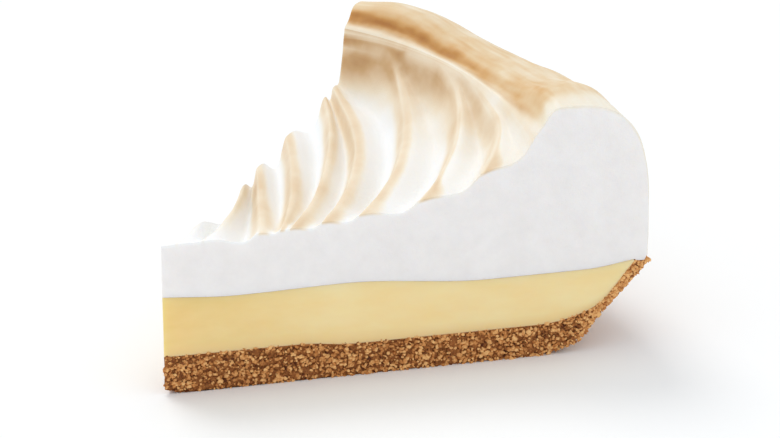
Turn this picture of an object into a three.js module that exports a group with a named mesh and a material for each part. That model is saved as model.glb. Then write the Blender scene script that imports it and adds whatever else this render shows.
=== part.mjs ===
// A cut slice of lemon meringue pie: a crumb crust, a lemon filling, and a deep meringue whose
// spatula strokes sweep out from the point of the slice and up into a high toasted ring.
// Millimetres, +Z up. The slice's bisector runs along +X and its point faces -X. Radii are
// measured from the point, and angles from the near cut, which faces -Y.

import * as THREE from 'three';

const { clamp, lerp, smoothstep } = THREE.MathUtils;

// ---- The slice -----------------------------------------------------------------------------
const SLICES_PER_PIE = 7;
const SLICE_ANGLE = (2 * Math.PI) / SLICES_PER_PIE;
const GAP = 0.3; // between layers that touch

// ---- Crust: [radius, height] along its inner and its outer face, from the point to the rim ---
const CRUST_INNER = [[0, 9.1], [31, 8.9], [45, 7.8], [86, 7.8], [98, 9.9], [102, 11.9], [110, 21.5]];
const CRUST_OUTER = [[0, 0], [31, 0], [45, 0], [84, 0], [96.5, 2.7], [101, 7.9], [113.6, 21.5]];
const CRUST_STEP = 1.72;
const CRUST_LAYERS = 5;
const CRUST_COLUMN = 3.3; // width of a facet round the outer wall
const CRUST_COARSE_COLUMN = 9; // and under the flat base
const CRUMB_OUT = 0.3; // how far a crumb stands proud of the crust
const CRUMB_IN = 0.55; // how deep the pits between crumbs are
const CRUMBS_FROM = 6; // full relief from this radius on, so that the point stays sharp
const FLAT_END = 3; // station on CRUST_OUTER where the flat base ends
const WEAR = { lift: 1.2, reach: 8 }; // the base is worn off at the point

// ---- Lemon filling: [radius, height] of its top ----------------------------------------------
const LEMON_TOP = [[0, 23.2], [17, 22.1], [42, 22.5], [75, 20.1], [98, 20.2], [110, 21.6]];
const LEMON_RIM = 5.88; // station on CRUST_INNER where the filling thins out
const LEMON_STEP = 4;
const LEMON_COLUMN = 7;

// ---- Meringue ----------------------------------------------------------------------------------
const MERINGUE_COLUMN = 2.4;
const MERINGUE_COARSE_COLUMN = 9;
const SEAL = { radius: 113, height: 22.8, foot: 112.4, lift: 0.1 }; // where it meets the crust's rim

// Height of the stroke crests over the low middle, along the near and the far cut.
const MIDDLE_NEAR = [[0, 35.6], [25, 36.8], [61, 40.3], [90, 41.5]];
const MIDDLE_FAR = [[0, 35.6], [12, 34.8], [36, 35.6], [47, 38.2], [62, 40.8], [81, 43.9], [95.5, 46.4]];

// The ring: a wall that climbs from its foot to a lip, and a broad crown behind the lip.
const WALL_FOOT = { near: 58, far: 88 };
const WALL_RISE = { near: 1.35, far: 3 }; // the more, the later and the steeper it climbs
const WALL_SWEEP = 2; // how late it grows steep, on the way from the near to the far cut
const WALL_EASE = 0.25; // how gently it starts to climb
const LIP_RADIUS = { near: 85, far: 95.5, sweep: 1.6 };
const LIP_HEIGHT = { near: 52, far: 57.6 };
const LIP_BEAD = { height: 0.9, width: 1.0 };
const CROWN_RADIUS = { near: 91.5, far: 102.5 };
const CROWN_HEIGHT = [
  [0, 60.2], [0.06, 61], [0.14, 60.9], [0.3, 59], [0.45, 58.9], [0.62, 60.2], [0.87, 64.2], [1, 62.9],
];
const CROWN_FULLNESS = 3.4; // 2 is an ellipse, more is squarer
const FURROW = { offset: 3, depth: 1.1, width: 1.4 }; // the furrow that runs along behind the lip
const OUTER_WAVES = [
  { count: 2.3, start: 0.4, slant: 0.05, height: 0.7 },
  { count: 5.7, start: 1.1, slant: -0.09, height: 0.35 },
];

// Spatula strokes. A crest leaves the near cut `start` from the point of the slice. With y the
// distance from that cut it runs at start + lean y - bend y^2 along the cut's direction, straight
// on once that stops growing, and melts into the lip.
const STROKES = [
  { start: 3.5, lean: 0.6, bend: 0.008 },
  { start: 9.5, lean: 0.6, bend: 0.0035 },
  { start: 22.3, lean: 0.2, bend: 0.0002 },
  { start: 27, lean: 0.392, bend: 0.003 },
  { start: 29.2, lean: 0.618, bend: 0.0041 },
  { start: 36.5, lean: 0.66, bend: 0.0058 },
  { start: 45, lean: 0.76, bend: 0.0062 },
  { start: 59, lean: 0.875, bend: 0.0102 },
  { start: 73, lean: 0.912, bend: 0.0234 },
];
const STROKE_MELT = 1.6;
const CREST_SPACING = 0.25; // crests that run together stay this far apart
const TROUGH = { depth: 5, perWidth: 0.4, softness: 0.3, fromWidth: 1, toWidth: 4 };
const TROUGH_SKEW = 1.7; // over 1, a trough falls gently behind a crest and rises steeply to the next
const TROUGH_AT_CUT = { share: 0.35, reach: 0.28 }; // shallower by the near cut
const TROUGH_AT_POINT = { from: 3, to: 22 };
const TROUGH_ROWS = [0.2, 0.4, 0.6, 0.78, 0.91, 1]; // across a trough, from crest to crest
const LIP_ROWS = [0.12, 0.28, 0.45, 0.62, 0.8, 1]; // from the lip to the crown
const CROWN_ROWS = 12; // from the crown down the outer wall

// ---- Curves ------------------------------------------------------------------------------------

// A smooth curve through [x, y] points that never overshoots them.
function curveThrough(points) {
  const last = points.length - 1;
  const secant = (i) => (points[i + 1][1] - points[i][1]) / (points[i + 1][0] - points[i][0]);
  const slope = points.map((_, i) => {
    if (i === 0) return secant(0);
    if (i === last) return secant(last - 1);
    const before = secant(i - 1);
    const after = secant(i);
    return before * after <= 0 ? 0 : (2 * before * after) / (before + after);
  });
  return (x) => {
    let i = 0;
    while (i < last - 1 && x > points[i + 1][0]) i += 1;
    const span = points[i + 1][0] - points[i][0];
    const t = clamp((x - points[i][0]) / span, 0, 1);
    const rise = t * t * (3 - 2 * t);
    const bow = t * (1 - t) * ((1 - t) * slope[i] - t * slope[i + 1]) * span;
    return lerp(points[i][1], points[i + 1][1], rise) + bow;
  };
}

// The same through [radius, height] points, as a point at station 0, 1, 2 and so on.
function profileThrough(points) {
  const radius = curveThrough(points.map((point, i) => [i, point[0]]));
  const height = curveThrough(points.map((point, i) => [i, point[1]]));
  return (station) => ({ radius: radius(station), height: height(station) });
}

// Stations along a profile, about `step` apart, up to station `end`.
function stationsAlong(points, step, end) {
  const stations = [0];
  for (let i = 0; i < end; i += 1) {
    const length = Math.hypot(points[i + 1][0] - points[i][0], points[i + 1][1] - points[i][1]);
    const steps = Math.ceil(length / step);
    const reach = Math.min(1, end - i);
    for (let n = 1; n <= steps; n += 1) stations.push(i + (reach * n) / steps);
  }
  return stations;
}

function softMinimum(a, b, width) {
  return Math.min(a, b) - width * Math.log1p(Math.exp(-Math.abs(a - b) / width));
}

// Near 0 below 0, then up to 1 at 1, with a soft bend between.
const softRamp = (t, ease) => (t + Math.hypot(t, ease)) / (1 + Math.hypot(1, ease));

const hump = (distance, width) => Math.exp(-((distance / width) ** 2));

// A repeatable random number from 0 to 1 for three whole numbers.
function draw(a, b, c) {
  const wave = Math.sin(a * 127.1 + b * 311.7 + c * 74.7) * 43758.5453;
  return wave - Math.floor(wave);
}

// ---- A closed body between two cuts --------------------------------------------------------------

const isPoint = (row) => row === 0;

// Two rows of vertices, both from the near to the far cut, joined by one strip of triangles.
function stitch(inner, outer, addTriangle) {
  let a = 0;
  let b = 0;
  while (a < inner.length - 1 || b < outer.length - 1) {
    const nextInner = a < inner.length - 1 ? (a + 1) / (inner.length - 1) : Infinity;
    const nextOuter = b < outer.length - 1 ? (b + 1) / (outer.length - 1) : Infinity;
    if (nextInner < nextOuter) {
      addTriangle(inner[a], outer[b], inner[a + 1]);
      a += 1;
    } else {
      addTriangle(inner[a], outer[b], outer[b + 1]);
      b += 1;
    }
  }
}

// place(row, across, layer) gives a vertex: row 0 is the slice's point and the last row its outer
// edge, across runs from 0 at the near cut to 1 at the far cut, and layer from 0 at the bottom.
// A body of one layer has its cuts filled from their outlines, so its rows may lean as they like.
function wedgeBody({ rows, layers, topColumns, bottomColumns, place }) {
  const positions = [];
  const triangles = [];
  const known = new Map();
  const vertex = (row, across, layer) => {
    const where = isPoint(row) ? 0 : across;
    const key = `${row} ${where.toFixed(6)} ${layer}`;
    if (!known.has(key)) {
      known.set(key, known.size);
      positions.push(...place(row, where, layer).toArray());
    }
    return known.get(key);
  };
  const add = (a, b, c) => triangles.push(a, b, c);
  const addFlipped = (a, b, c) => triangles.push(a, c, b);
  const rowOf = (row, columns, layer) => {
    const count = isPoint(row) ? 0 : columns(row);
    return Array.from({ length: count + 1 }, (_, i) => vertex(row, count ? i / count : 0, layer));
  };
  const outerColumns = topColumns(rows);
  for (let column = 0; column < outerColumns; column += 1) {
    for (let layer = 0; layer < layers; layer += 1) {
      const corners = [[column, layer], [column + 1, layer], [column + 1, layer + 1], [column, layer + 1]];
      const [a, b, c, d] = corners.map(([n, l]) => vertex(rows, n / outerColumns, l));
      add(a, b, c);
      add(a, c, d);
    }
  }
  for (let row = rows - 1; row >= 0; row -= 1) {
    stitch(rowOf(row, bottomColumns, 0), rowOf(row + 1, bottomColumns, 0), addFlipped);
    stitch(rowOf(row, topColumns, layers), rowOf(row + 1, topColumns, layers), add);
    for (let layer = 0; layers > 1 && layer < layers; layer += 1) {
      for (const [cut, addFace] of [[0, add], [1, addFlipped]]) {
        const corners = [[row, layer], [row + 1, layer], [row + 1, layer + 1], [row, layer + 1]];
        const [a, b, c, d] = corners.map(([r, l]) => vertex(r, cut, l));
        addFace(a, b, c);
        addFace(a, c, d);
      }
    }
  }
  for (const [cut, addFace] of layers > 1 ? [] : [[0, add], [1, addFlipped]]) {
    const rowNumbers = Array.from({ length: rows + 1 }, (_, row) => row);
    const bottom = rowNumbers.map((row) => vertex(row, cut, 0));
    const top = rowNumbers.map((row) => vertex(row, cut, 1)).reverse();
    const outline = [...bottom, ...top];
    const flat = outline.map((index) => {
      const [x, y, z] = positions.slice(3 * index, 3 * index + 3);
      return new THREE.Vector2(Math.hypot(x, y), z);
    });
    for (const [a, b, c] of THREE.ShapeUtils.triangulateShape(flat, [])) {
      addFace(outline[a], outline[b], outline[c]);
    }
  }
  const geometry = new THREE.BufferGeometry();
  geometry.setAttribute('position', new THREE.Float32BufferAttribute(positions, 3));
  geometry.setIndex(triangles);
  geometry.computeVertexNormals();
  return geometry;
}

function polar(radius, across, height) {
  const angle = (across - 0.5) * SLICE_ANGLE;
  return new THREE.Vector3(radius * Math.cos(angle), radius * Math.sin(angle), height);
}

// Columns grow in few steps from row to row, so that rows meet without slivers.
const COLUMN_COUNTS = [3, 4, 6, 8, 12, 16, 24, 32, 40, 48];
const columnsFor = (length, width) => COLUMN_COUNTS.find((count) => count * width >= length) ?? 48;
const arc = (radius) => radius * SLICE_ANGLE;

// ---- Crust ---------------------------------------------------------------------------------------

const crustInner = profileThrough(CRUST_INNER);
const crustOuter = profileThrough(CRUST_OUTER);

function crustGeometry() {
  const end = CRUST_OUTER.length - 1;
  const stations = stationsAlong(CRUST_OUTER, CRUST_STEP, end);
  const rows = stations.length - 1;
  const outerRadius = (row) => crustOuter(stations[row]).radius;
  const onWall = (row) => stations[row] > FLAT_END;
  const columns = (row, wallWidth) => {
    return columnsFor(arc(outerRadius(row)), onWall(row) ? wallWidth : CRUST_COARSE_COLUMN);
  };
  // Crumbs stand out of the faces that show: both cuts and the outer wall. The rim is only pitted.
  const place = (row, across, layer) => {
    const outer = crustOuter(stations[row]);
    const inner = crustInner(stations[row]);
    const share = layer / CRUST_LAYERS;
    const base = outer.height + WEAR.lift * Math.max(0, 1 - outer.radius / WEAR.reach) ** 2;
    const point = polar(lerp(outer.radius, inner.radius, share), across, lerp(base, inner.height, share));
    const relief = smoothstep(outer.radius, 0, CRUMBS_FROM);
    const crumb = relief * lerp(-CRUMB_IN, CRUMB_OUT, draw(row, Math.round(across * 997), layer));
    if (across === 0 || across === 1) {
      const side = across === 0 ? -1 : 1;
      const angle = (side * SLICE_ANGLE) / 2;
      const outward = new THREE.Vector3(-Math.sin(angle) * side, Math.cos(angle) * side, 0);
      if (isPoint(row)) outward.set(-1, 0, 0);
      point.addScaledVector(outward, crumb);
      if (layer === 0) point.z += relief * CRUMB_IN * draw(row, 7, side);
    } else if (onWall(row) && (layer === 0 || row === rows)) {
      const down = clamp(end - stations[row], 0.7, 2);
      const outward = polar(1, across, 0).setZ(-down).normalize();
      const coarseness = smoothstep(stations[row], FLAT_END, FLAT_END + 1);
      if (row < rows) point.addScaledVector(outward, crumb * coarseness);
      else if (layer > 0 && layer < CRUST_LAYERS) point.z += Math.min(crumb, 0);
      point.z = Math.max(point.z, 0);
    }
    return point;
  };
  return wedgeBody({
    rows,
    layers: CRUST_LAYERS,
    topColumns: (row) => columns(row, row === rows ? CRUST_COLUMN : LEMON_COLUMN),
    bottomColumns: (row) => columns(row, CRUST_COLUMN),
    place,
  });
}

// ---- Lemon filling ---------------------------------------------------------------------------------

const lemonTop = curveThrough(LEMON_TOP);

function lemonGeometry() {
  const stations = stationsAlong(CRUST_INNER, LEMON_STEP, LEMON_RIM);
  const floorAt = (row) => {
    const inner = crustInner(stations[row]);
    const onSlope = smoothstep(inner.radius, CRUST_INNER[3][0], CRUST_INNER[5][0]);
    return { radius: inner.radius - GAP * onSlope, height: inner.height + GAP };
  };
  const columns = (row) => columnsFor(arc(floorAt(row).radius), LEMON_COLUMN);
  return wedgeBody({
    rows: stations.length - 1,
    layers: 1,
    topColumns: columns,
    bottomColumns: columns,
    place: (row, across, layer) => {
      const { radius, height } = floorAt(row);
      return polar(radius, across, layer === 0 ? height : lemonTop(radius));
    },
  });
}

// ---- Meringue --------------------------------------------------------------------------------------

const middleNear = curveThrough(MIDDLE_NEAR);
const middleFar = curveThrough(MIDDLE_FAR);
const crownHeight = curveThrough(CROWN_HEIGHT);

const middleHeight = (radius, across) => {
  return lerp(middleNear(radius), middleFar(radius), smoothstep(across, 0, 1));
};
const lipRadius = (across) => {
  return lerp(LIP_RADIUS.near, LIP_RADIUS.far, across ** LIP_RADIUS.sweep);
};
const lipHeight = (across) => lerp(LIP_HEIGHT.near, LIP_HEIGHT.far, 1 - (1 - across) ** 2);
const crownRadius = (across) => lerp(CROWN_RADIUS.near, CROWN_RADIUS.far, across);

// Distance from the point of the slice to a stroke's crest.
function strokeRadius({ start, lean, bend }, across) {
  const angle = Math.max(across * SLICE_ANGLE, 1e-6);
  const sine = Math.sin(angle);
  const straightFrom = lean / (2 * bend);
  const straight = (start + (lean * straightFrom) / 2) / Math.cos(angle);
  if (straight * sine > straightFrom) return straight;
  const square = bend * sine * sine;
  const linear = Math.cos(angle) - lean * sine;
  return (Math.sqrt(linear * linear + 4 * square * start) - linear) / (2 * square);
}

// Crests from the point outwards; the last is the lip.
function crestRadii(across) {
  const lip = lipRadius(across);
  const crests = STROKES.map((stroke) => softMinimum(strokeRadius(stroke, across), lip, STROKE_MELT));
  crests.push(lip);
  for (let i = crests.length - 2; i >= 0; i -= 1) {
    crests[i] = Math.min(crests[i], crests[i + 1] - CREST_SPACING);
  }
  return [0, ...crests];
}

// How far the trough between two crests dips at a share of the way from one to the other.
function troughDepth(radius, across, width, share) {
  const { softness } = TROUGH;
  const sag = Math.sin(Math.PI * share ** TROUGH_SKEW);
  const bowl = (Math.hypot(sag, softness) - softness) / (Math.hypot(1, softness) - softness);
  const byCut = lerp(TROUGH_AT_CUT.share, 1, smoothstep(across, 0, TROUGH_AT_CUT.reach));
  const byPoint = smoothstep(radius, TROUGH_AT_POINT.from, TROUGH_AT_POINT.to);
  const byWidth = smoothstep(width, TROUGH.fromWidth, TROUGH.toWidth);
  return Math.min(TROUGH.depth, TROUGH.perWidth * width) * bowl * byCut * byPoint * byWidth;
}

// The hollow of the slice, in trough `trough`, at a share of its width.
function hollowPoint(trough, share, across) {
  const crests = crestRadii(across);
  const width = crests[trough + 1] - crests[trough];
  const radius = crests[trough] + share * width;
  const lip = lipRadius(across);
  const steepness = across ** WALL_SWEEP;
  const foot = lerp(WALL_FOOT.near, WALL_FOOT.far, steepness);
  const rise = lerp(WALL_RISE.near, WALL_RISE.far, steepness);
  const climb = softRamp((radius - foot) / (lip - foot), WALL_EASE) ** rise;
  const wall = climb * (lipHeight(across) - middleHeight(lip, across));
  const bead = LIP_BEAD.height * hump(radius - lip, LIP_BEAD.width);
  const height = middleHeight(radius, across) + wall + bead - troughDepth(radius, across, width, share);
  return polar(radius, across, height);
}

// From the lip up to the crown, across the furrow.
function lipPoint(share, across) {
  const lip = lipRadius(across);
  const radius = lerp(lip, crownRadius(across), share);
  const rise = lerp(lipHeight(across), crownHeight(across), 1 - (1 - share) ** 2);
  const bead = LIP_BEAD.height * hump(radius - lip, LIP_BEAD.width);
  const furrow = FURROW.depth * hump(radius - lip - FURROW.offset, FURROW.width) * (1 - share);
  return polar(radius, across, rise + bead - furrow);
}

// From the crown over the shoulder and down the outer wall.
function crownPoint(share, across) {
  const turn = (share * Math.PI) / 2;
  const outward = Math.sin(turn) ** (2 / CROWN_FULLNESS);
  const upward = Math.max(Math.cos(turn), 0) ** (2 / CROWN_FULLNESS);
  const height = lerp(SEAL.height, crownHeight(across), upward);
  let wave = 0;
  for (const { count, start, slant, height: swell } of OUTER_WAVES) {
    wave += swell * Math.sin(2 * Math.PI * count * across + start + slant * height);
  }
  const radius = lerp(crownRadius(across), SEAL.radius, outward) + wave * Math.sin(share * Math.PI);
  return polar(radius, across, height);
}

function meringueFoot(radius, across) {
  const lift = SEAL.lift * smoothstep(radius, SEAL.foot - 5, SEAL.foot - 2);
  return polar(radius, across, lemonTop(radius) + GAP + lift);
}

// Length of a row of the top, from the near to the far cut.
function lengthOf(top) {
  let length = 0;
  const steps = 12;
  for (let n = 0; n < steps; n += 1) length += top(n / steps).distanceTo(top((n + 1) / steps));
  return length;
}

function meringueGeometry() {
  const tops = [() => polar(0, 0, middleNear(0))];
  for (let trough = 0; trough <= STROKES.length; trough += 1) {
    for (const share of TROUGH_ROWS) tops.push((across) => hollowPoint(trough, share, across));
  }
  for (const share of LIP_ROWS) tops.push((across) => lipPoint(share, across));
  for (let n = 1; n <= CROWN_ROWS; n += 1) tops.push((across) => crownPoint(n / CROWN_ROWS, across));

  const rows = tops.length - 1;
  const topColumns = tops.map((top) => columnsFor(lengthOf(top), MERINGUE_COLUMN));
  const footRadius = (row) => (SEAL.foot * row) / rows;
  return wedgeBody({
    rows,
    layers: 1,
    topColumns: (row) => topColumns[row],
    bottomColumns: (row) => {
      return row === rows ? topColumns[rows] : columnsFor(arc(footRadius(row)), MERINGUE_COARSE_COLUMN);
    },
    place: (row, across, layer) => (layer === 0 ? meringueFoot(footRadius(row), across) : tops[row](across)),
  });
}

// ---- The slice, stood on the middle of its own footprint -----------------------------------------------

const LAYERS = [
  ['crust', crustGeometry, { color: 0x9a683a, roughness: 0.9 }],
  ['lemon_filling', lemonGeometry, { color: 0xebd398, roughness: 0.35 }],
  ['meringue', meringueGeometry, { color: 0xf3ede2, roughness: 0.6 }],
];

const slice = new THREE.Group();
for (const [name, geometry, finish] of LAYERS) {
  const layer = new THREE.Mesh(geometry(), new THREE.MeshStandardMaterial({ ...finish, metalness: 0 }));
  layer.name = name;
  slice.add(layer);
}
const middle = new THREE.Box3().setFromObject(slice).getCenter(new THREE.Vector3());
slice.position.set(-middle.x, -middle.y, 0);
slice.updateMatrixWorld(true);

export default slice;
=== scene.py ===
"""A slice of lemon meringue pie: a crumb crust, a lemon filling and a deep toasted meringue.

Sizes are in millimetres, as in the solids, and are turned to metres where a vertex is placed.
Radii are measured from the point of the slice, and `across` runs from 0 at the near cut, which
faces -Y, to 1 at the far cut. A pair of numbers holds the two ends of a lerp or of a smoothstep.
"""

import math
import random
from functools import lru_cache

import bmesh
import bpy
from mathutils import Matrix, Vector, noise


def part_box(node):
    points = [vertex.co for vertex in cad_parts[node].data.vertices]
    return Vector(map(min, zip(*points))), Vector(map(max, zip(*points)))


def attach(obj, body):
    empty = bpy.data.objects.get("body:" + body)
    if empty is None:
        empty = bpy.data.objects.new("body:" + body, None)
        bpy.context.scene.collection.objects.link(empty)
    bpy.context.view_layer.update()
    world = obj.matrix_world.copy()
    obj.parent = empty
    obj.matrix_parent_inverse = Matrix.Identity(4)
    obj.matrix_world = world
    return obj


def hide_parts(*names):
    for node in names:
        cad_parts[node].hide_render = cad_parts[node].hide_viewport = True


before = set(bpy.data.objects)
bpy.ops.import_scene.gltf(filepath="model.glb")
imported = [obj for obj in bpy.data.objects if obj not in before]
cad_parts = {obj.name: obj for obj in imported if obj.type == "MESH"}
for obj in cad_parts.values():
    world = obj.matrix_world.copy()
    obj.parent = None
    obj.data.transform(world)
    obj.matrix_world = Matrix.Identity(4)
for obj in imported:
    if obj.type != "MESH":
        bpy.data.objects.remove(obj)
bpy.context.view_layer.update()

MM = 0.001
TINY = 1e-6
SHARP_EDGE = math.radians(60)  # faces that meet at more than this keep a crisp edge

# ---- The slice ---------------------------------------------------------------------------------
SLICE_ANGLE = 2 * math.pi / 7
POINT_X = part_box("meringue")[0][0] / MM
AXIS_Y = (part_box("lemon_filling")[0][1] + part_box("lemon_filling")[1][1]) / 2 / MM
GAP = 0.3  # between the solids of layers that touch
SEAM = 0.05  # what is left of it here

# ---- Crust -------------------------------------------------------------------------------------
# Its faces run through (radius, height) points, and a station counts along them.
CRUST_INNER = [(0, 9.1), (31, 8.9), (45, 7.8), (86, 7.8), (98, 9.9), (102, 11.9), (110, 21.5)]
CRUST_OUTER = [(0, 0), (31, 0), (45, 0), (84, 0), (96.5, 2.7), (101, 7.9), (113.6, 21.5)]
CRUST_END = len(CRUST_OUTER) - 1
FLAT_END = 3  # the station where the flat base ends and the side wall starts
WALL_TOP = CRUST_END - 0.03  # the last station where the wall's normal can be taken
WEAR_LIFT, WEAR_REACH = 1.2, 8  # the base is worn off at the point

CORE_INSET = 0.6  # the crumbs stand on a core this far inside the faces that show
CORE_INSET_PER_MM = 0.3  # and less where the slice runs out to its point
CORE_INSET_AT_TOP, CORE_INSET_AT_RIM = 0.15, 0.2  # shares of it beside the filling and on the rim
CORE_INSET_EASE = 0.6  # stations over which it comes in on the wall
CORE_LUMP, CORE_RELIEF, CORE_RELIEF_LEVEL = 1.2, 0.35, 0.4
# The core is darker than most crumbs: painted shade in the gaps between them.
CORE_TONE, CORE_TONE_SPREAD, CORE_TONE_SIZE = 0.3, 0.14, 1.6
CORE_ROWS, CORE_COLUMNS, CORE_LAYERS = 170, 110, 10

CRUMBS_PER_CUT, CRUMBS_ON_WALL, CRUMBS_ON_RIM = 3200, 5200, 800
CUT_CRUMB, WALL_CRUMB, RIM_CRUMB = 0.42, 0.58, 0.5  # usual radius
CRUMBS_UP_CUT = (-0.02, 1.03)  # a little past the crust's outer and inner faces
CRUMBS_UP_WALL = FLAT_END + 0.1  # the station where the wall's crumbs start
CRUMB_KINDS, CRUMB_CORNERS = 14, 17
CRUMB_WIDTH, CRUMB_THICKNESS, CRUMB_CORNER_REACH = (0.65, 1), (0.5, 0.85), (0.8, 1.15)
CRUMB_SIZE_SPREAD, CRUMB_SIZE_LIMITS = 0.32, (0.6, 2)
CRUMB_TONE, CRUMB_TONE_SPREAD = 0.5, 0.23
# Darker crumbs lie deeper, painted shade in the pits between the pale ones; their tone also varies at
# random.
CRUMB_SUNK, CRUMB_SUNK_SPREAD = (1.0, 0.15), 0.3  # how deep the dark and the pale ones lie, in radii
CRUMB_FLOOR = 0.02  # crumbs end this far above the ground
CRUMB_SEED = 41

# ---- Lemon filling -----------------------------------------------------------------------------
LEMON_TOP = [(0, 23.2), (17, 22.1), (42, 22.5), (75, 20.1), (98, 20.2), (110, 21.6)]
LEMON_RIM = 5.97  # station on CRUST_INNER where the filling thins out
LEMON_BULGE, LEMON_BULGE_FULLNESS = 0.3, 0.7  # how far the soft filling swells out of the cuts
SMEAR, SMEAR_SIZE, SMEAR_FLATNESS, SMEAR_AT_EDGE = 0.12, 6, 2.2, 0.3
LEMON_ROWS, LEMON_COLUMNS, LEMON_LAYERS = 150, 60, 24

# ---- Meringue ----------------------------------------------------------------------------------
# The pairs for its wall, its lip and its crown are at the near and at the far cut.
SEAL_RADIUS, SEAL_HEIGHT, SEAL_FOOT = 113, 22.8, 112.4
SETTLE_DEPTH, SETTLE_RADIUS = 0.42, (109.85, 110.5)  # onto the crust's rim, past the filling
MIDDLE_NEAR = [(0, 35.6), (25, 36.8), (61, 40.3), (90, 41.5)]
MIDDLE_FAR = [(0, 35.6), (12, 34.8), (36, 35.6), (47, 38.2), (62, 40.8), (81, 43.9), (95.5, 46.4)]
WALL_FOOT = (58, 88)
WALL_RISE, WALL_SWEEP, WALL_EASE = (1.35, 3), 2, 0.25
LIP_RADIUS, LIP_SWEEP = (85, 95.5), 1.6
LIP_HEIGHT = (52, 57.6)
LIP_BEAD, LIP_BEAD_WIDTH = 0.9, 1.0
CROWN_RADIUS = (91.5, 102.5)
CROWN_HEIGHT = [
    (0, 60.2), (0.06, 61), (0.14, 60.9), (0.3, 59), (0.45, 58.9), (0.62, 60.2), (0.87, 64.2), (1, 62.9)
]
CROWN_FULLNESS = 3.4
FURROW_OFFSET, FURROW_DEPTH, FURROW_WIDTH = 3, 1.1, 1.4
OUTER_WAVES = [(2.3, 0.4, 0.05, 0.7), (5.7, 1.1, -0.09, 0.35)]  # count, start, slant, height

# Spatula strokes: where the crest leaves the near cut, how it leans and how it bends.
STROKES = [
    (3.5, 0.6, 0.008), (9.5, 0.6, 0.0035), (22.3, 0.2, 0.0002), (27, 0.392, 0.003), (29.2, 0.618, 0.0041),
    (36.5, 0.66, 0.0058), (45, 0.76, 0.0062), (59, 0.875, 0.0102), (73, 0.912, 0.0234),
]
STROKE_MELT = 1.6
CREST_SPACING = 0.25
TROUGH_DEPTH, TROUGH_PER_WIDTH, TROUGH_SOFTNESS, TROUGH_SKEW = 5, 0.4, 0.3, 1.7
TROUGH_WIDTHS = (1, 4)
TROUGH_AT_CUT, TROUGH_CUT_REACH = 0.35, 0.28
TROUGH_POINT_FADE = (3, 22)

ROWS_PER_TROUGH = 28
LIP_ROWS = 40
CROWN_ROWS = 90
HOLLOW_ROWS = ROWS_PER_TROUGH * (len(STROKES) + 1)
MERINGUE_ROWS = HOLLOW_ROWS + LIP_ROWS + CROWN_ROWS
MERINGUE_COLUMNS, MERINGUE_LAYERS = 110, 30
CUT_ROWS_CROWD_UP = 1.5  # rows of the cut faces lie closer together towards the skin
CUT_DENT, CUT_DENT_SIZE, CUT_DENT_LEVEL = 0.16, 7, 0.4
SKIN_SWELLS, SKIN_SWELL_SIZE = 0.224, 8
SKIN_DIMPLES, SKIN_DIMPLE_SIZE = 0.048, 3
SEAL_SMOOTHNESS = 3  # how far above the seal the skin is plain
SKIN_THICKNESS, SKIN_EDGE = 0.9, 0.1  # of the toasted skin, where a cut shows it
RING_BEHIND_LIP = (0.5, 3)  # where the hollow's finish turns into the ring's

# ---- Toast, painted shade and painted highlights on the meringue -------------------------------
# 0 is white and 1 is dark brown, and it varies a little in patches.
PATCHES, PATCH_SIZE, PATCHES_ON_RING = (0.7, 1.25), 9, 0.6

# On the rolls along the hollow's crests: toast, with painted shade on the steep side up to each crest
# and where the rolls overhang the near cut. A reach changes between two troughs, counted from the
# slice's point, and is no more than a share of the trough's width. The toast fades around it.
ROLL_TOAST_AND_PAINTED_SHADE, ROLL_POINT_FADE = 0.35, (8, 32)
PAST_CREST, PAST_CREST_TROUGHS, PAST_CREST_SHARE, PAST_CREST_FADE = (3.4, 0.9), (6.8, 8), 0.45, (1.6, 0.4)
TO_CREST, TO_CREST_TROUGHS, TO_CREST_SHARE, TO_CREST_FADE = (2.8, 3.8), (5.8, 7.5), 0.4, (1.5, 0.4)
CUT_EDGE = 0.08  # how far in from the near cut these are otherwise:
PAST_CREST_AT_CUT, PAST_CREST_SHARE_AT_CUT = 4.5, 0.42
TO_CREST_TOAST_AND_PAINTED_SHADE_AT_CUT, ROLL_TOAST_AND_PAINTED_SHADE_AT_CUT = 0.15, 1.25

# Up the wall of the hollow, toast with painted shade: from near to far, more in the far corner and just
# below each crest.
WALL_BELOW_LIP, WALL_TOAST_AND_PAINTED_SHADE, FAR_SIDE = (19, 2), (0.16, 0.45), (0.1, 0.75)
CORNER_PAINTED_SHADE_AND_TOAST, CORNER = 0.2, (0.7, 0.95)
SHADE_TOAST, SHADE_TOAST_NEAR = 0.28, 0.4
SHADE_REACH, SHADE_SHARE, SHADE_LEAST = 3, 0.35, 0.2

# Painted highlights as pale lines along the crests, in the middle and up on the wall, and a pale line
# along the lip.
LINE_TOAST = 0.24
CREST_HIGHLIGHT_WIDTH, CREST_HIGHLIGHT_STRENGTH, CREST_HIGHLIGHT_TROUGHS = (0.4, 0.6), (0.35, 0.85), (1.5, 4.5)
LIP_LINE_WIDTH, LIP_LINE_STRENGTH, RING_LINE_WIDTH = 1.1, 0.8, 0.9

# A dark streak behind the lip, which widens and fades towards the near cut and ends raggedly.
STREAK_BEHIND_LIP, STREAK_WIDTH, STREAK_WIDENS = (3.1, 4.6), (1.4, 3.8), (0.5, 0.15)
STREAK_TOAST, STREAK_FADES, STREAK_END = (0.6, 0.14), (0.9, 0.25), (0.02, 0.1)
RAGGED, RAGGED_SIZE, RAGGED_TURNS = 0.05, 1.3, 3
STREAK_BRUSHED, CROWN_BRUSHED = 0.22, 0.35  # how strongly fine lines mark the streak and the crown
BRUSH_SIZE, BRUSH_TURNS = 1.1, 14

# On the crown, which is paler outwards, at the near cut and down to the seal.
CROWN_TOAST, CROWN_BEHIND_LIP = (0.38, 0.32), (5, 13)
CROWN_TOAST_AT_CUT, CROWN_FROM_CUT = 0.4, (0, 0.16)
CROWN_TOAST_AT_SEAL, CROWN_UP = 0.3, (26, 56)


# ---- Curves ------------------------------------------------------------------------------------
def lerp(a, b, t):
    return a + (b - a) * t


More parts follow.
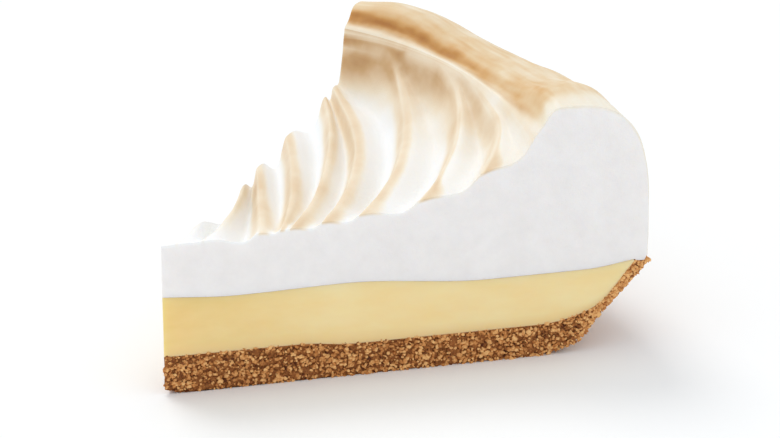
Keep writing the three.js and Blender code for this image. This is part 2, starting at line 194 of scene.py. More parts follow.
def clamp(value, low=0.0, high=1.0):
    return min(max(value, low), high)


def smoothstep(value, low, high):
    t = clamp((value - low) / (high - low))
    return t * t * (3 - 2 * t)


def hump(distance, width):
    return math.exp(-((distance / width) ** 2))


def soft_minimum(a, b, width):
    return min(a, b) - width * math.log1p(math.exp(-abs(a - b) / width))


def soft_ramp(t, ease):
    """Near 0 below 0, then up to 1 at 1, with a soft bend between."""
    return (t + math.hypot(t, ease)) / (1 + math.hypot(1, ease))


def curve_through(points):
    """A smooth curve through (x, y) points that never overshoots them."""
    last = len(points) - 1

    def secant(i):
        return (points[i + 1][1] - points[i][1]) / (points[i + 1][0] - points[i][0])

    def slope_at(i):
        if i in (0, last):
            return secant(min(i, last - 1))
        before, after = secant(i - 1), secant(i)
        return 0 if before * after <= 0 else 2 * before * after / (before + after)

    slope = [slope_at(i) for i in range(last + 1)]

    def curve(x):
        i = 0
        while i < last - 1 and x > points[i + 1][0]:
            i += 1
        span = points[i + 1][0] - points[i][0]
        t = clamp((x - points[i][0]) / span)
        bow = t * (1 - t) * ((1 - t) * slope[i] - t * slope[i + 1]) * span
        return lerp(points[i][1], points[i + 1][1], t * t * (3 - 2 * t)) + bow

    return curve


def profile_through(points):
    """The same through (radius, height) points, which lie at stations 0, 1, 2 and so on."""
    radius = curve_through([(i, point[0]) for i, point in enumerate(points)])
    height = curve_through([(i, point[1]) for i, point in enumerate(points)])
    return lambda station: (radius(station), height(station))


def even_stations(profile, end, steps, fine_steps=2000):
    """Stations of a profile from 0 to end that lie evenly along its length."""
    fine = [profile(end * n / fine_steps) for n in range(fine_steps + 1)]
    length = [0.0]
    for (r0, h0), (r1, h1) in zip(fine, fine[1:]):
        length.append(length[-1] + math.hypot(r1 - r0, h1 - h0))
    stations, n = [], 0
    for step in range(steps + 1):
        wanted = length[-1] * step / steps
        while n < fine_steps - 1 and length[n + 1] < wanted:
            n += 1
        share = (wanted - length[n]) / (length[n + 1] - length[n])
        stations.append(end * (n + clamp(share)) / fine_steps)
    return stations


def polar(radius, across, height):
    angle = (across - 0.5) * SLICE_ANGLE
    return Vector((radius * math.cos(angle), radius * math.sin(angle), height))


def cut_normal(across):
    """Which way a cut faces: the near one at across 0, the far one at across 1."""
    side = -1 if across < 0.5 else 1
    return Vector((-math.sin(SLICE_ANGLE / 2), side * math.cos(SLICE_ANGLE / 2), 0))


def grain(point, size, seed):
    """Smooth noise from -1 to 1 with features of about `size` mm."""
    return noise.noise((point + Vector((seed, 2 * seed, 3 * seed))) / size)


# ---- A closed wedge, spun about the point of the slice -----------------------------------------
def spun_wedge(along_steps, up_steps, across_steps, place, plain_floor=False):
    """An upright sheet is spun about the slice's point, and place(along, up, across) moves each vertex.

    Its three arguments run from 0 to 1: from the point outwards, up, and from cut to cut. Each
    vertex also keeps them in layers of those names.
    """
    bm = bmesh.new()
    bmesh.ops.create_grid(bm, x_segments=along_steps, y_segments=1, size=0.5)
    bmesh.ops.translate(bm, verts=bm.verts, vec=(0.5, 0.5, 0))
    bmesh.ops.rotate(bm, verts=bm.verts, cent=(0, 0, 0), matrix=Matrix.Rotation(math.pi / 2, 3, "X"))
    sheet = bm.verts[:] + bm.edges[:] + bm.faces[:]
    bmesh.ops.spin(
        bm, geom=sheet, cent=(0, 0, 0), axis=(0, 0, 1), angle=SLICE_ANGLE, steps=across_steps,
        use_merge=False,
    )
    on_axis = [v for v in bm.verts if math.hypot(v.co.x, v.co.y) < TINY]
    bmesh.ops.remove_doubles(bm, verts=on_axis, dist=TINY)

    def upright(edge):
        return abs(edge.verts[0].co.z - edge.verts[1].co.z) > 0.5

    bmesh.ops.subdivide_edges(
        bm, edges=[e for e in bm.edges if upright(e)], cuts=up_steps - 1, use_grid_fill=True
    )
    if plain_floor:
        strip_the_floor(bm)
    bmesh.ops.recalc_face_normals(bm, faces=bm.faces)

    layers = [bm.verts.layers.float.new(name) for name in ("along", "up", "across")]
    for vert in bm.verts:
        along = clamp(round(math.hypot(vert.co.x, vert.co.y) * along_steps) / along_steps)
        angle = math.atan2(vert.co.y, vert.co.x) if along else 0
        across = clamp(round(angle / SLICE_ANGLE * across_steps) / across_steps)
        up = clamp(round(vert.co.z * up_steps) / up_steps)
        for layer, value in zip(layers, (along, up, across)):
            vert[layer] = value
        vert.co = place(along, up, across) * MM
    return bm


def strip_the_floor(bm):
    """Turns the floor of a wedge into plain strips from cut to cut."""
    def on_floor(face):
        return all(v.co.z < TINY for v in face.verts)

    def radial(edge):
        a, b = (v.co for v in edge.verts)
        return abs(a.x * b.y - a.y * b.x) < TINY / 10

    def inner(edge):
        return radial(edge) and len(edge.link_faces) == 2 and all(map(on_floor, edge.link_faces))

    bmesh.ops.dissolve_edges(bm, edges=[e for e in bm.edges if inner(e)], use_verts=True)


def roughen(bm, amount):
    """Moves each vertex along its normal by amount(vert, its place in mm) millimetres."""
    bm.normal_update()
    moves = [(vert, vert.normal * (amount(vert, vert.co / MM) * MM)) for vert in bm.verts]
    for vert, move in moves:
        vert.co += move


def finish_piece(bm, name, material, node=None, smooth=True):
    """Sets the shape in its place in the frame, and hands it over."""
    bmesh.ops.translate(bm, verts=bm.verts, vec=(POINT_X * MM, AXIS_Y * MM, 0))
    mesh = bpy.data.meshes.new(name)
    bm.to_mesh(mesh)
    bm.free()
    if smooth:
        mesh.shade_smooth()
        mesh.set_sharp_from_angle(angle=SHARP_EDGE)
    mesh.materials.append(material)
    piece = bpy.data.objects.new(name, mesh)
    bpy.context.scene.collection.objects.link(piece)
    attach(piece, "root")
    if node:
        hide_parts(node)


# ---- Meringue ----------------------------------------------------------------------------------
middle_near = curve_through(MIDDLE_NEAR)
middle_far = curve_through(MIDDLE_FAR)
crown_height = curve_through(CROWN_HEIGHT)
lemon_top = curve_through(LEMON_TOP)


def middle_height(radius, across):
    return lerp(middle_near(radius), middle_far(radius), smoothstep(across, 0, 1))


def lip_radius(across):
    return lerp(*LIP_RADIUS, across**LIP_SWEEP)


def lip_height(across):
    return lerp(*LIP_HEIGHT, 1 - (1 - across) ** 2)


def lip_bead(radius, across):
    """How far the rounded lip stands up from what it lies on."""
    return LIP_BEAD * hump(radius - lip_radius(across), LIP_BEAD_WIDTH)


def crown_radius(across):
    return lerp(*CROWN_RADIUS, across)


def stroke_radius(start, lean, bend, across):
    """Distance from the point of the slice to a stroke's crest."""
    angle = max(across * SLICE_ANGLE, TINY)
    sine = math.sin(angle)
    straight_from = lean / (2 * bend)  # further than this from the near cut the crest doesn't bend
    straight = (start + lean * straight_from / 2) / math.cos(angle)
    if straight * sine > straight_from:
        return straight
    square = bend * sine * sine
    linear = math.cos(angle) - lean * sine
    return (math.sqrt(linear * linear + 4 * square * start) - linear) / (2 * square)


@lru_cache(maxsize=None)
def crest_radii(across):
    """Crests from the point outwards; the last is the lip."""
    lip = lip_radius(across)
    crests = [soft_minimum(stroke_radius(*stroke, across), lip, STROKE_MELT) for stroke in STROKES] + [lip]
    for i in reversed(range(len(crests) - 1)):
        crests[i] = min(crests[i], crests[i + 1] - CREST_SPACING)
    return [0] + crests


def trough_of(row):
    """The trough that a row of the hollow lies in, and its share of the trough's width."""
    trough = min(row // ROWS_PER_TROUGH, len(STROKES))
    return trough, row / ROWS_PER_TROUGH - trough


def trough_depth(radius, across, width, share):
    full = math.hypot(1, TROUGH_SOFTNESS) - TROUGH_SOFTNESS
    lean = math.sin(math.pi * share**TROUGH_SKEW)
    bowl = (math.hypot(lean, TROUGH_SOFTNESS) - TROUGH_SOFTNESS) / full
    by_cut = lerp(TROUGH_AT_CUT, 1, smoothstep(across, 0, TROUGH_CUT_REACH))
    by_point = smoothstep(radius, *TROUGH_POINT_FADE)
    by_width = smoothstep(width, *TROUGH_WIDTHS)
    return min(TROUGH_DEPTH, TROUGH_PER_WIDTH * width) * bowl * by_cut * by_point * by_width


def hollow_point(trough, share, across):
    """The hollow of the slice, in one trough, at a share of its width."""
    crests = crest_radii(across)
    width = crests[trough + 1] - crests[trough]
    radius = crests[trough] + share * width
    lip = lip_radius(across)
    steepness = across**WALL_SWEEP
    foot = lerp(*WALL_FOOT, steepness)
    climb = soft_ramp((radius - foot) / (lip - foot), WALL_EASE) ** lerp(*WALL_RISE, steepness)
    wall = climb * (lip_height(across) - middle_height(lip, across))
    height = middle_height(radius, across) + wall + lip_bead(radius, across)
    return polar(radius, across, height - trough_depth(radius, across, width, share))


def lip_point(share, across):
    """From the lip up to the crown, across the furrow behind the lip."""
    lip = lip_radius(across)
    radius = lerp(lip, crown_radius(across), share)
    rise = lerp(lip_height(across), crown_height(across), 1 - (1 - share) ** 2)
    furrow = FURROW_DEPTH * hump(radius - lip - FURROW_OFFSET, FURROW_WIDTH) * (1 - share)
    return polar(radius, across, rise + lip_bead(radius, across) - furrow)


def crown_point(share, across):
    """From the crown over the shoulder and down the outer wall."""
    turn = share * math.pi / 2
    outward = math.sin(turn) ** (2 / CROWN_FULLNESS)
    upward = max(math.cos(turn), 0) ** (2 / CROWN_FULLNESS)
    height = lerp(SEAL_HEIGHT, crown_height(across), upward)
    wave = sum(
        swell * math.sin(2 * math.pi * count * across + start + slant * height)
        for count, start, slant, swell in OUTER_WAVES
    )
    radius = lerp(crown_radius(across), SEAL_RADIUS, outward) + wave * math.sin(share * math.pi)
    return polar(radius, across, height)


@lru_cache(maxsize=None)
def meringue_top(row, across):
    if row <= HOLLOW_ROWS:
        return hollow_point(*trough_of(row), across)
    if row <= HOLLOW_ROWS + LIP_ROWS:
        return lip_point((row - HOLLOW_ROWS) / LIP_ROWS, across)
    return crown_point((row - HOLLOW_ROWS - LIP_ROWS) / CROWN_ROWS, across)


def meringue_foot(row, across):
    """Straight under the skin as far as the crown, and from there out to the seal."""
    if row <= HOLLOW_ROWS + LIP_ROWS:
        over = meringue_top(row, across)
        radius = math.hypot(over.x, over.y)
    else:
        radius = lerp(crown_radius(across), SEAL_FOOT, (row - HOLLOW_ROWS - LIP_ROWS) / CROWN_ROWS)
    settled = SETTLE_DEPTH * smoothstep(radius, *SETTLE_RADIUS)
    return polar(radius, across, lemon_top(radius) + GAP - settled)


def place_meringue(along, up, across):
    row = round(along * MERINGUE_ROWS)
    return meringue_foot(row, across).lerp(meringue_top(row, across), 1 - (1 - up) ** CUT_ROWS_CROWD_UP)


def relief_on_meringue(point, up, across):
    """Shallow dents in the cuts, and swells and dimples in the skin."""
    if 0 < up < 1 and across in (0, 1):
        return CUT_DENT * (grain(point, CUT_DENT_SIZE, seed=3) - CUT_DENT_LEVEL)
    if up == 1:
        swells = SKIN_SWELLS * grain(point, SKIN_SWELL_SIZE, seed=1)
        dimples = SKIN_DIMPLES * grain(point, SKIN_DIMPLE_SIZE, seed=2)
        return (swells + dimples) * smoothstep(point.z, SEAL_HEIGHT, SEAL_HEIGHT + SEAL_SMOOTHNESS)
    return 0.0


def roll_toast_and_painted_shade(trough, width, behind, ahead, by_cut):
    """How brown the rolls are past the crest that lies behind, and up to the one ahead with painted shade.
    """
    past_crest, to_crest = 0, 0
    if trough > 0:
        reach = lerp(*PAST_CREST, smoothstep(trough, *PAST_CREST_TROUGHS))
        reach = min(reach, PAST_CREST_SHARE * width)
        reach = lerp(reach, min(PAST_CREST_AT_CUT, PAST_CREST_SHARE_AT_CUT * width), by_cut)
        past_crest = smoothstep(behind / reach, *PAST_CREST_FADE)
    # The steep side up to the next crest: toast and painted shade.
    if trough < len(STROKES):
        reach = lerp(*TO_CREST, smoothstep(trough, *TO_CREST_TROUGHS))
        reach = min(reach, TO_CREST_SHARE * width)
        to_crest = smoothstep(ahead / reach, *TO_CREST_FADE) * lerp(1, TO_CREST_TOAST_AND_PAINTED_SHADE_AT_CUT, by_cut)
    return ROLL_TOAST_AND_PAINTED_SHADE * max(past_crest, to_crest) * lerp(1, ROLL_TOAST_AND_PAINTED_SHADE_AT_CUT, by_cut)


def wall_toast_and_painted_shade(trough, width, ahead, across):
    """How brown the top of the wall is: toast, and painted shade that deepens to the far corner and just
    below each crest.
    """
    far_side = smoothstep(across, *FAR_SIDE)
    toast_and_painted_light = lerp(*WALL_TOAST_AND_PAINTED_SHADE, far_side) + CORNER_PAINTED_SHADE_AND_TOAST * smoothstep(across, *CORNER)
    if trough < len(STROKES):
        # Painted shade on the steep side just below the crest ahead.
        shade = hump(ahead, min(SHADE_REACH, SHADE_SHARE * width + SHADE_LEAST))
        toast_and_painted_light += SHADE_TOAST * shade * lerp(SHADE_TOAST_NEAR, 1, far_side)
    return toast_and_painted_light


def hollow_toast_and_painted_light(row, across):
    """Toast and painted shade on the hollow's rolls and wall, painted highlights on its crests, a pale lip
    line.
    """
    crests = crest_radii(across)
    trough, share = trough_of(row)
    width = crests[trough + 1] - crests[trough]
    behind, ahead = share * width, (1 - share) * width
    radius = crests[trough] + behind
    below_lip = lip_height(across) - meringue_top(row, across).z
    up_wall = smoothstep(below_lip, *WALL_BELOW_LIP)

    rolls = roll_toast_and_painted_shade(trough, width, behind, ahead, by_cut=hump(across, CUT_EDGE))
    rolls *= smoothstep(radius, *ROLL_POINT_FADE)
    wall = up_wall * wall_toast_and_painted_shade(trough, width, ahead, across)

    nearest = min(ahead, behind) if trough > 0 else ahead
    # Painted highlight along the crest.
    crest_highlight = hump(nearest, lerp(*CREST_HIGHLIGHT_WIDTH, up_wall)) * lerp(*CREST_HIGHLIGHT_STRENGTH, up_wall)
    crest_highlight *= smoothstep(width, *CREST_HIGHLIGHT_TROUGHS)
    lip_line = LIP_LINE_STRENGTH * hump(math.hypot(lip_radius(across) - radius, below_lip), LIP_LINE_WIDTH)
    return lerp(max(rolls, wall), LINE_TOAST, max(crest_highlight, lip_line))


def ring_toast(radius, across, height):
    """How brown the ring is, outwards from the lip: a pale line, a dark streak and a golden crown."""
    behind = radius - lip_radius(across)
    brushed = grain(Vector((behind, across * BRUSH_TURNS, 0)), BRUSH_SIZE, seed=13)
    ragged = across + RAGGED * grain(Vector((behind, across * RAGGED_TURNS, 0)), RAGGED_SIZE, seed=17)

    near = smoothstep(across, *STREAK_WIDENS)
    streak = hump(behind - lerp(*STREAK_BEHIND_LIP, near), lerp(*STREAK_WIDTH, near))
    streak *= lerp(*STREAK_TOAST, smoothstep(across, *STREAK_FADES)) * smoothstep(ragged, *STREAK_END)
    streak *= 1 + STREAK_BRUSHED * brushed

    golden = lerp(*CROWN_TOAST, smoothstep(behind, *CROWN_BEHIND_LIP)) * (1 + CROWN_BRUSHED * brushed)
    golden *= lerp(CROWN_TOAST_AT_CUT, 1, smoothstep(across, *CROWN_FROM_CUT))
    golden *= lerp(CROWN_TOAST_AT_SEAL, 1, smoothstep(height, *CROWN_UP))
    return lerp(golden + streak, LINE_TOAST, hump(behind, RING_LINE_WIDTH))


def meringue_toast_and_painted_light(row, across, point):
    patches = lerp(*PATCHES, 0.5 + 0.5 * grain(point, PATCH_SIZE, seed=7))
    if row < HOLLOW_ROWS:
        return hollow_toast_and_painted_light(row, across) * patches
    radius = math.hypot(point.x, point.y)
    return ring_toast(radius, across, point.z) * lerp(1, patches, PATCHES_ON_RING)


def make_meringue(material):
    bm = spun_wedge(MERINGUE_ROWS, MERINGUE_LAYERS, MERINGUE_COLUMNS, place_meringue, plain_floor=True)
    along, up, across = (bm.verts.layers.float[name] for name in ("along", "up", "across"))
    # The skin's colour layer holds toast, painted shade on the wall and the crests' steep sides, and
    # painted highlights along the crests.
    toast_and_painted_light, cut, ring = (bm.verts.layers.float.new(name) for name in ("toast_and_painted_light", "cut", "ring"))
    for vert in bm.verts:
        row = round(vert[along] * MERINGUE_ROWS)
        column = round(vert[across] * MERINGUE_COLUMNS) / MERINGUE_COLUMNS
        skin = meringue_top(row, column)
        depth = (skin - vert.co / MM).length
        if depth < SKIN_THICKNESS:
            vert[toast_and_painted_light] = meringue_toast_and_painted_light(row, column, skin)
        if column in (0, 1):
            vert[cut] = smoothstep(depth, SKIN_EDGE, SKIN_THICKNESS)
        vert[ring] = smoothstep(math.hypot(skin.x, skin.y) - lip_radius(column), *RING_BEHIND_LIP)

    def amount(vert, point):
        return relief_on_meringue(point, round(vert[up], 4), round(vert[across], 4))

    roughen(bm, amount)
    finish_piece(bm, "meringue_baked", material, "meringue")


# ---- Lemon filling -----------------------------------------------------------------------------
crust_inner = profile_through(CRUST_INNER)
crust_outer = profile_through(CRUST_OUTER)


def make_lemon(material):
    stations = even_stations(crust_inner, LEMON_RIM, LEMON_ROWS)

    def place(along, up, across):
        radius, height = crust_inner(stations[round(along * LEMON_ROWS)])
        radius -= SEAM * smoothstep(radius, CRUST_INNER[3][0], CRUST_INNER[5][0])
        return polar(radius, across, lerp(height + SEAM, lemon_top(radius) + GAP - SEAM, up))

    bm = spun_wedge(LEMON_ROWS, LEMON_LAYERS, LEMON_COLUMNS, place)
    up, across = (bm.verts.layers.float[name] for name in ("up", "across"))
    for vert in bm.verts:
        side = round(vert[across], 4)
        if side in (0, 1):
            point = vert.co / MM
            point.z *= SMEAR_FLATNESS
            swell = LEMON_BULGE * math.sin(math.pi * clamp(vert[up])) ** LEMON_BULGE_FULLNESS
            smear = SMEAR * grain(point, SMEAR_SIZE, seed=11)
            vert.co += cut_normal(side) * ((swell + smear * (SMEAR_AT_EDGE + swell)) * MM)
    finish_piece(bm, "lemon_filling_set", material, "lemon_filling")


# ---- Crust -------------------------------------------------------------------------------------
def crust_place(station, up, across):
    """A place on or in the crust, from its outer face at up 0 to its inner face at up 1."""
    (r0, h0), (r1, h1) = crust_outer(station), crust_inner(station)
    h0 += WEAR_LIFT * max(0, 1 - r0 / WEAR_REACH) ** 2
    return polar(lerp(r0, r1, up), across, lerp(h0, h1, up))


def wall_normal(station, across, step=0.02):
    """Which way the outer wall faces."""
    (r0, h0), (r1, h1) = crust_outer(station - step), crust_outer(station + step)
    return polar(h1 - h0, across, r0 - r1).normalized()


def make_crust_core(material):
    stations = even_stations(crust_outer, CRUST_END, CORE_ROWS)

    def place(along, up, across):
        station = stations[round(along * CORE_ROWS)]
        point = crust_place(station, up, across)
        if across in (0, 1) and along > 0:
            inset = min(CORE_INSET, point.x * CORE_INSET_PER_MM)
            point -= cut_normal(across) * (inset if up < 1 else inset * CORE_INSET_AT_TOP)
        if station > FLAT_END and up == 0:
            inset = CORE_INSET * smoothstep(station, FLAT_END, FLAT_END + CORE_INSET_EASE)
            point -= wall_normal(min(station, WALL_TOP), across) * inset
        if along == 1:
            point.z -= CORE_INSET * CORE_INSET_AT_RIM
        return point

    bm = spun_wedge(CORE_ROWS, CORE_LAYERS, CORE_COLUMNS, place)
    up = bm.verts.layers.float["up"]

    def amount(vert, point):
        if point.z < CRUMB_FLOOR or round(vert[up], 4) == 1:
            return 0.0
        distances, _ = noise.voronoi(point / CORE_LUMP)
        return CORE_RELIEF * (CORE_RELIEF_LEVEL - distances[0])

    roughen(bm, amount)
    tone = bm.verts.layers.float.new("tone")
    for vert in bm.verts:
        vert.co.z = max(vert.co.z, 0)
        vert[tone] = CORE_TONE + CORE_TONE_SPREAD * grain(vert.co / MM, CORE_TONE_SIZE, seed=4)
    finish_piece(bm, "crust_core", material, "crust")


def crumb_shapes(rng):
    """Broken lumps of about unit radius, each as a list of its corners and one of its faces."""
    shapes = []
    for _ in range(CRUMB_KINDS):
        bm = bmesh.new()
        bmesh.ops.create_icosphere(bm, subdivisions=2, radius=1)
        spare = rng.sample(bm.verts[:], len(bm.verts) - CRUMB_CORNERS)
        bmesh.ops.delete(bm, geom=spare, context="VERTS")
        stretch = Vector((1, rng.uniform(*CRUMB_WIDTH), rng.uniform(*CRUMB_THICKNESS)))
        for vert in bm.verts:
            vert.co = vert.co * stretch * rng.uniform(*CRUMB_CORNER_REACH)
        hull = bmesh.ops.convex_hull(bm, input=bm.verts[:])
        loose = [v for v in hull["geom_interior"] if isinstance(v, bmesh.types.BMVert)]
        bmesh.ops.delete(bm, geom=loose, context="VERTS")
        bm.verts.index_update()
        shapes.append(([v.co.copy() for v in bm.verts], [[v.index for v in f.verts] for f in bm.faces]))
        bm.free()
    return shapes


def spots_on_cut(rng, side, steps=400):
    """Places on a cut face of the crust, spread evenly along it."""
    stations = even_stations(crust_outer, CRUST_END, steps)
    for _ in range(CRUMBS_PER_CUT):
        station = stations[rng.randrange(1, steps)]
        yield crust_place(station, rng.uniform(*CRUMBS_UP_CUT), side), cut_normal(side), CUT_CRUMB


def spots_on_wall(rng, steps=600):
    """Places on the outer wall, spread evenly up it."""
    stations = [s for s in even_stations(crust_outer, CRUST_END, steps) if s > CRUMBS_UP_WALL]
    for _ in range(CRUMBS_ON_WALL):
        station = min(rng.choice(stations), WALL_TOP)
        across = rng.random()
        yield crust_place(station, 0, across), wall_normal(station, across), WALL_CRUMB


def spots_on_rim(rng):
    for _ in range(CRUMBS_ON_RIM):
        yield crust_place(CRUST_END, rng.random(), rng.random()), Vector((0, 0, 1)), RIM_CRUMB


def make_crumbs(name, material, spots, rng):
    """One mesh of the crumbs that lie on the given spots, sunk in the core, the dark ones deeper as
    painted shade in the pits.
    """
    shapes = crumb_shapes(rng)
    corners, faces, tones = [], [], []
    for spot, outward, usual_size in spots:
        size = usual_size * clamp(rng.lognormvariate(0, CRUMB_SIZE_SPREAD), *CRUMB_SIZE_LIMITS)
        turn = Matrix.Rotation(rng.uniform(0, 2 * math.pi), 3, Vector((rng.gauss(0, 1) for _ in range(3))))
        tone = clamp(rng.gauss(CRUMB_TONE, CRUMB_TONE_SPREAD))
        # The darker a crumb, the deeper it lies: painted shade in the pits.
        sunk = lerp(*CRUMB_SUNK, clamp(tone + rng.uniform(-CRUMB_SUNK_SPREAD, CRUMB_SUNK_SPREAD)))
        centre = spot - outward * (size * sunk)
        shape, rings = rng.choice(shapes)
        first = len(corners)
        for corner in shape:
            place = centre + turn @ corner * size
            place.z = max(place.z, CRUMB_FLOOR)
            corners.append(place * MM)
        faces += [[first + i for i in ring] for ring in rings]
        tones += [tone] * len(shape)
    mesh = bpy.data.meshes.new(name)
    mesh.from_pydata(corners, [], faces)
    bm = bmesh.new()
    bm.from_mesh(mesh)
    bpy.data.meshes.remove(mesh)
    layer = bm.verts.layers.float.new("tone")
    for vert, tone in zip(bm.verts, tones):
        vert[layer] = tone
    finish_piece(bm, name, material, smooth=False)


def make_crust(material):
    make_crust_core(material)
    rng = random.Random(CRUMB_SEED)
    make_crumbs("crust_crumbs_cuts", material, [*spots_on_cut(rng, 0), *spots_on_cut(rng, 1)], rng)
    make_crumbs("crust_crumbs_wall", material, [*spots_on_wall(rng), *spots_on_rim(rng)], rng)


# ---- Materials ---------------------------------------------------------------------------------
NOISE_RANGE = (0.3, 0.7)  # where nearly all of a noise node's values lie


def linear(red, green, blue):
    """A colour given as 0 to 255 on a screen, as Blender wants it."""
    def channel(value):
        value /= 255
        return value / 12.92 if value <= 0.04045 else ((value + 0.055) / 1.055) ** 2.4

    return (channel(red), channel(green), channel(blue), 1.0)


class Finish:
    """A material, with short ways to add and join its nodes."""

    def __init__(self, name):
        self.material = bpy.data.materials.new(name)
        self.material.use_nodes = True
        self.nodes = self.material.node_tree.nodes
        self.links = self.material.node_tree.links
        self.shader = self.nodes["Principled BSDF"]
        self.object_space = self.nodes.new("ShaderNodeTexCoord").outputs["Object"]

    def set(self, **values):
        for name, value in values.items():
            self.shader.inputs[name.replace("_", " ")].default_value = value

    def drive(self, name, output):
        self.links.new(output, self.shader.inputs[name])

    def attribute(self, name):
        node = self.nodes.new("ShaderNodeAttribute")
        node.attribute_name = name
        return node.outputs["Fac"]

    def stretched(self, scale):
        node = self.nodes.new("ShaderNodeMapping")
        node.inputs["Scale"].default_value = scale
        self.links.new(self.object_space, node.inputs["Vector"])
        return node.outputs["Vector"]

    def along_x(self, low_mm, high_mm, to_high=1.0):
        """From 0 to to_high between two places along X."""
        node = self.nodes.new("ShaderNodeSeparateXYZ")
        self.links.new(self.object_space, node.inputs["Vector"])
        return self.spread(node.outputs["X"], (low_mm * MM, high_mm * MM), (0.0, to_high))

    def noise(self, size_mm, detail, roughness=0.55, vector=None):
        node = self.nodes.new("ShaderNodeTexNoise")
        node.inputs["Scale"].default_value = 1 / (size_mm * MM)
        node.inputs["Detail"].default_value = detail
        node.inputs["Roughness"].default_value = roughness
        self.links.new(vector or self.object_space, node.inputs["Vector"])
        return node.outputs["Fac"]

    def cells(self, size_mm):
        node = self.nodes.new("ShaderNodeTexVoronoi")
        node.inputs["Scale"].default_value = 1 / (size_mm * MM)
        self.links.new(self.object_space, node.inputs["Vector"])
        return node.outputs["Distance"]

    def math(self, operation, first, second):
        node = self.nodes.new("ShaderNodeMath")
        node.operation = operation
        for socket, value in zip(node.inputs, (first, second)):
            self.links.new(value, socket)
        return node.outputs["Value"]

    def spread(self, value, values, to_values=(0.0, 1.0)):
        node = self.nodes.new("ShaderNodeMapRange")
        for name, number in zip(("From Min", "From Max", "To Min", "To Max"), (*values, *to_values)):
            node.inputs[name].default_value = number
        self.links.new(value, node.inputs["Value"])
        return node.outputs["Result"]

    def mottled(self, to_values, *noise_settings):
        """Noise that runs between two values."""
        return self.spread(self.noise(*noise_settings), NOISE_RANGE, to_values)

    def ramp(self, value, stops):
        node = self.nodes.new("ShaderNodeValToRGB")
        elements = node.color_ramp.elements
        while len(elements) < len(stops):
            elements.new(0.5)
        for element, (position, colour) in zip(elements, stops):
            element.position = position
            element.color = linear(*colour)
        self.links.new(value, node.inputs["Fac"])
        return node.outputs["Color"]

    def blend(self, share, first, second):
        """From the first colour to the second, each a node's or a plain one."""
        node = self.nodes.new("ShaderNodeMix")
        node.data_type = "RGBA"
        for name, value in (("Factor", share), ("A", first), ("B", second)):
            socket = next(s for s in node.inputs if s.name == name and s.enabled)
            if isinstance(value, tuple):
                socket.default_value = value
            else:
                self.links.new(value, socket)
        return next(s for s in node.outputs if s.enabled)

    def bump(self, height, depth_mm, strength, below=None):
        node = self.nodes.new("ShaderNodeBump")
        node.inputs["Distance"].default_value = depth_mm * MM
        node.inputs["Strength"].default_value = strength
        self.links.new(height, node.inputs["Height"])
        if below:
            self.links.new(below, node.inputs["Normal"])
        return node.outputs["Normal"]


def meringue_material():
    """White foam with a dry skin that browns where it was toasted and carries painted shade and
    highlights, and fine bubbles where it is cut.
    """
    finish = Finish("baked_meringue")
    # The toast layer also carries painted shade and painted highlights.
    toast_and_painted_light = finish.math("MULTIPLY", finish.attribute("toast_and_painted_light"), finish.mottled((0.86, 1.14), 6, 2, 0.5))
    hollow = finish.ramp(toast_and_painted_light, [
        (0.0, (251, 253, 255)), (0.1, (250, 247, 241)), (0.25, (244, 230, 207)), (0.42, (231, 207, 174)),
        (0.66, (208, 170, 124)), (0.95, (182, 132, 78)),
    ])
    crown = finish.ramp(toast_and_painted_light, [
        (0.0, (249, 247, 240)), (0.1, (245, 239, 225)), (0.2, (240, 228, 205)), (0.36, (230, 204, 164)),
        (0.6, (218, 173, 115)), (0.8, (198, 144, 79)), (1.0, (178, 119, 58)),
    ])
    skin = finish.blend(finish.attribute("ring"), hollow, crown)
    foam = finish.blend(finish.mottled((0, 1), 5, 3, 0.6), linear(243, 240, 239), linear(249, 246, 245))
    finish.drive("Base Color", finish.blend(finish.attribute("cut"), skin, foam))
    finish.drive("Roughness", finish.mottled((0.5, 0.72), 1.6, 2))
    finish.set(Subsurface_Weight=0.25, Subsurface_Scale=0.0025, Subsurface_Radius=(1.0, 0.85, 0.7))
    finish.set(Specular_IOR_Level=0.35)
    fine = finish.bump(finish.noise(0.5, 4, 0.6), 0.12, 0.6)
    bubbles = finish.spread(finish.cells(1.3), (0.0, 0.34))
    finish.drive("Normal", finish.bump(bubbles, 0.1, 0.35, fine))
    return finish.material


def lemon_material():
    """Set lemon custard: smooth, faintly see-through and a little glossy."""
    finish = Finish("lemon_custard")
    cloud = finish.noise(14, 3, 0.6, finish.stretched((1, 1, 2.5)))
    paler = finish.ramp(cloud, [(0.32, (254, 223, 160)), (0.68, (255, 230, 174))])
    deeper = finish.ramp(cloud, [(0.32, (240, 208, 134)), (0.68, (245, 216, 148))])
    body = finish.blend(finish.along_x(-52, -20), deeper, paler)
    by_crust = finish.spread(finish.attribute("up"), (0.22, 0.02))
    finish.drive("Base Color", finish.blend(by_crust, body, linear(250, 212, 148)))
    finish.drive("Roughness", finish.mottled((0.32, 0.5), 2.5, 3))
    finish.set(Subsurface_Weight=0.35, Subsurface_Scale=0.004, Subsurface_Radius=(1.0, 0.75, 0.35))
    finish.set(Specular_IOR_Level=0.4)
    smears = finish.noise(2.2, 3, 0.5, finish.stretched((0.4, 0.4, 1.6)))
    finish.drive("Normal", finish.bump(smears, 0.12, 0.5))
    return finish.material


def crust_material():
    """Pressed biscuit crumbs, from dark toasted to golden, each lump of its own shade."""
    finish = Finish("biscuit_crumb")
    tone = finish.math("ADD", finish.attribute("tone"), finish.mottled((-0.16, 0.16), 0.5, 4, 0.65))
    tone = finish.math("ADD", tone, finish.along_x(-10, 45, 0.05))
    finish.drive("Base Color", finish.ramp(tone, [
        (0.05, (96, 48, 22)), (0.3, (164, 102, 52)), (0.55, (212, 146, 82)), (0.85, (244, 192, 126)),
    ]))
    finish.drive("Roughness", finish.mottled((0.6, 0.85), 1.2, 2))
    finish.set(Specular_IOR_Level=0.3)
    finish.drive("Normal", finish.bump(finish.noise(0.4, 4, 0.7), 0.2, 0.7))
    return finish.material


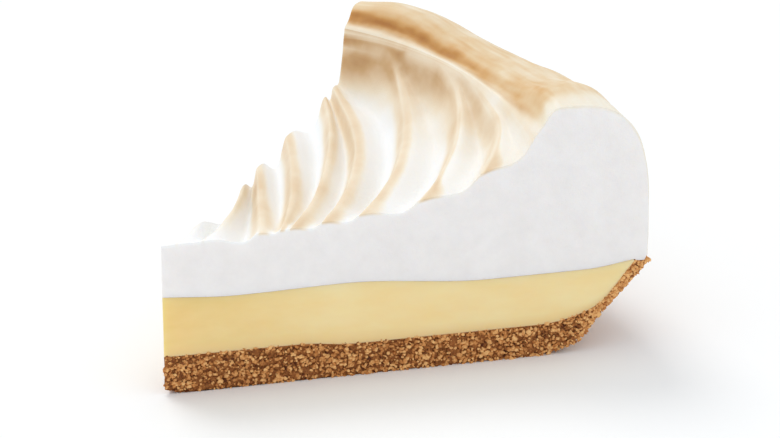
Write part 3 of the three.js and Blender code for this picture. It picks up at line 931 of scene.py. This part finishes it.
# ---- Stage -------------------------------------------------------------------------------------
CAMERA_AZIMUTH, CAMERA_ELEVATION = math.radians(-40.04), math.radians(21.0)
CAMERA_DISTANCE = 0.7
CAMERA_LENS, CAMERA_SENSOR = 138.2, 36
LOOK_AT = Vector(((65.75 + POINT_X) * MM, AXIS_Y * MM, 25.91 * MM))
SUN_FROM = Vector((0.15, 1.1, 1.6))
SUN_STRENGTH, SUN_COLOUR = 0.85, (1.0, 0.97, 0.92)
SUN_WIDTH = math.radians(28)  # of sky that it fills
SKY_STRENGTH, SKY_COLOUR = 0.84, (0.975, 0.988, 1.0, 1)
FLOOR_REACH, FLOOR_COLOUR = 2, (0.97, 0.985, 1, 1)


def add_to_scene(name, data):
    thing = bpy.data.objects.new(name, data)
    bpy.context.scene.collection.objects.link(thing)
    return thing


def aim(thing, place, target):
    thing.location = place
    thing.rotation_euler = (target - place).to_track_quat("-Z", "Y").to_euler()


def make_floor():
    bm = bmesh.new()
    bmesh.ops.create_grid(bm, x_segments=2, y_segments=2, size=FLOOR_REACH)
    mesh = bpy.data.meshes.new("floor")
    bm.to_mesh(mesh)
    bm.free()
    finish = Finish("pale_floor")
    finish.set(Base_Color=FLOOR_COLOUR, Roughness=0.9, Specular_IOR_Level=0.1)
    mesh.materials.append(finish.material)
    add_to_scene("floor", mesh)


def make_sun():
    light = bpy.data.lights.new("sun", "SUN")
    light.energy = SUN_STRENGTH
    light.angle = SUN_WIDTH
    light.color = SUN_COLOUR
    aim(add_to_scene("sun", light), SUN_FROM, Vector((0, 0, 0)))


def make_camera():
    camera = add_to_scene("camera", bpy.data.cameras.new("camera"))
    camera.data.lens = CAMERA_LENS
    camera.data.sensor_width = CAMERA_SENSOR
    flat = math.cos(CAMERA_ELEVATION)
    back = Vector((
        math.sin(CAMERA_AZIMUTH) * flat, -math.cos(CAMERA_AZIMUTH) * flat, math.sin(CAMERA_ELEVATION)
    ))
    aim(camera, LOOK_AT + back * CAMERA_DISTANCE, LOOK_AT)
    bpy.context.scene.camera = camera


def make_sky():
    world = bpy.data.worlds.new("soft_white")
    world.use_nodes = True
    sky = world.node_tree.nodes["Background"]
    sky.inputs["Color"].default_value = SKY_COLOUR
    sky.inputs["Strength"].default_value = SKY_STRENGTH
    bpy.context.scene.world = world
    bpy.context.scene.view_settings.view_transform = "Standard"


make_meringue(meringue_material())
make_lemon(lemon_material())
make_crust(crust_material())
make_floor()
make_sun()
make_sky()
make_camera()
